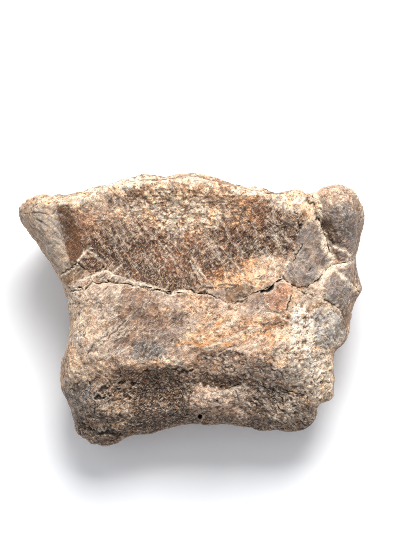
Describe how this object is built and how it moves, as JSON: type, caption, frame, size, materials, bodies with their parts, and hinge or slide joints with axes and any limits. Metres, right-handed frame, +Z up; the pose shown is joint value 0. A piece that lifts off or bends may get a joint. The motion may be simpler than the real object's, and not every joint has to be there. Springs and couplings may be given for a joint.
{
  "type": "fossil sauropod toe bone",
  "caption": "Life-size fossil toe bone of a sauropod, broad and low, broken across and put together again from its fragments, lying on its underside.",
  "frame": {"origin": "on the ground, under the middle of the bone's bounding box", "axes": "+X across the bone, to the right in the picture; +Y along the bone towards its proximal end, up in the picture; +Z up, towards the camera"},
  "size_m": [0.1318, 0.1042, 0.057],
  "materials": {
    "proximal_bone": "brown varnished fossil bone with a worn, granular dish and a pale rim",
    "distal_bone": "weathered fossil bone in grey-beige, ochre and dark brown patches",
    "corner_bone": "smooth grey-brown fossil bone with pale specks"
  },
  "bodies": {
    "root": {"proximal_block": "proximal_bone", "distal_block": "distal_bone", "corner_fragment": "corner_bone"}
  },
  "joints": []
}
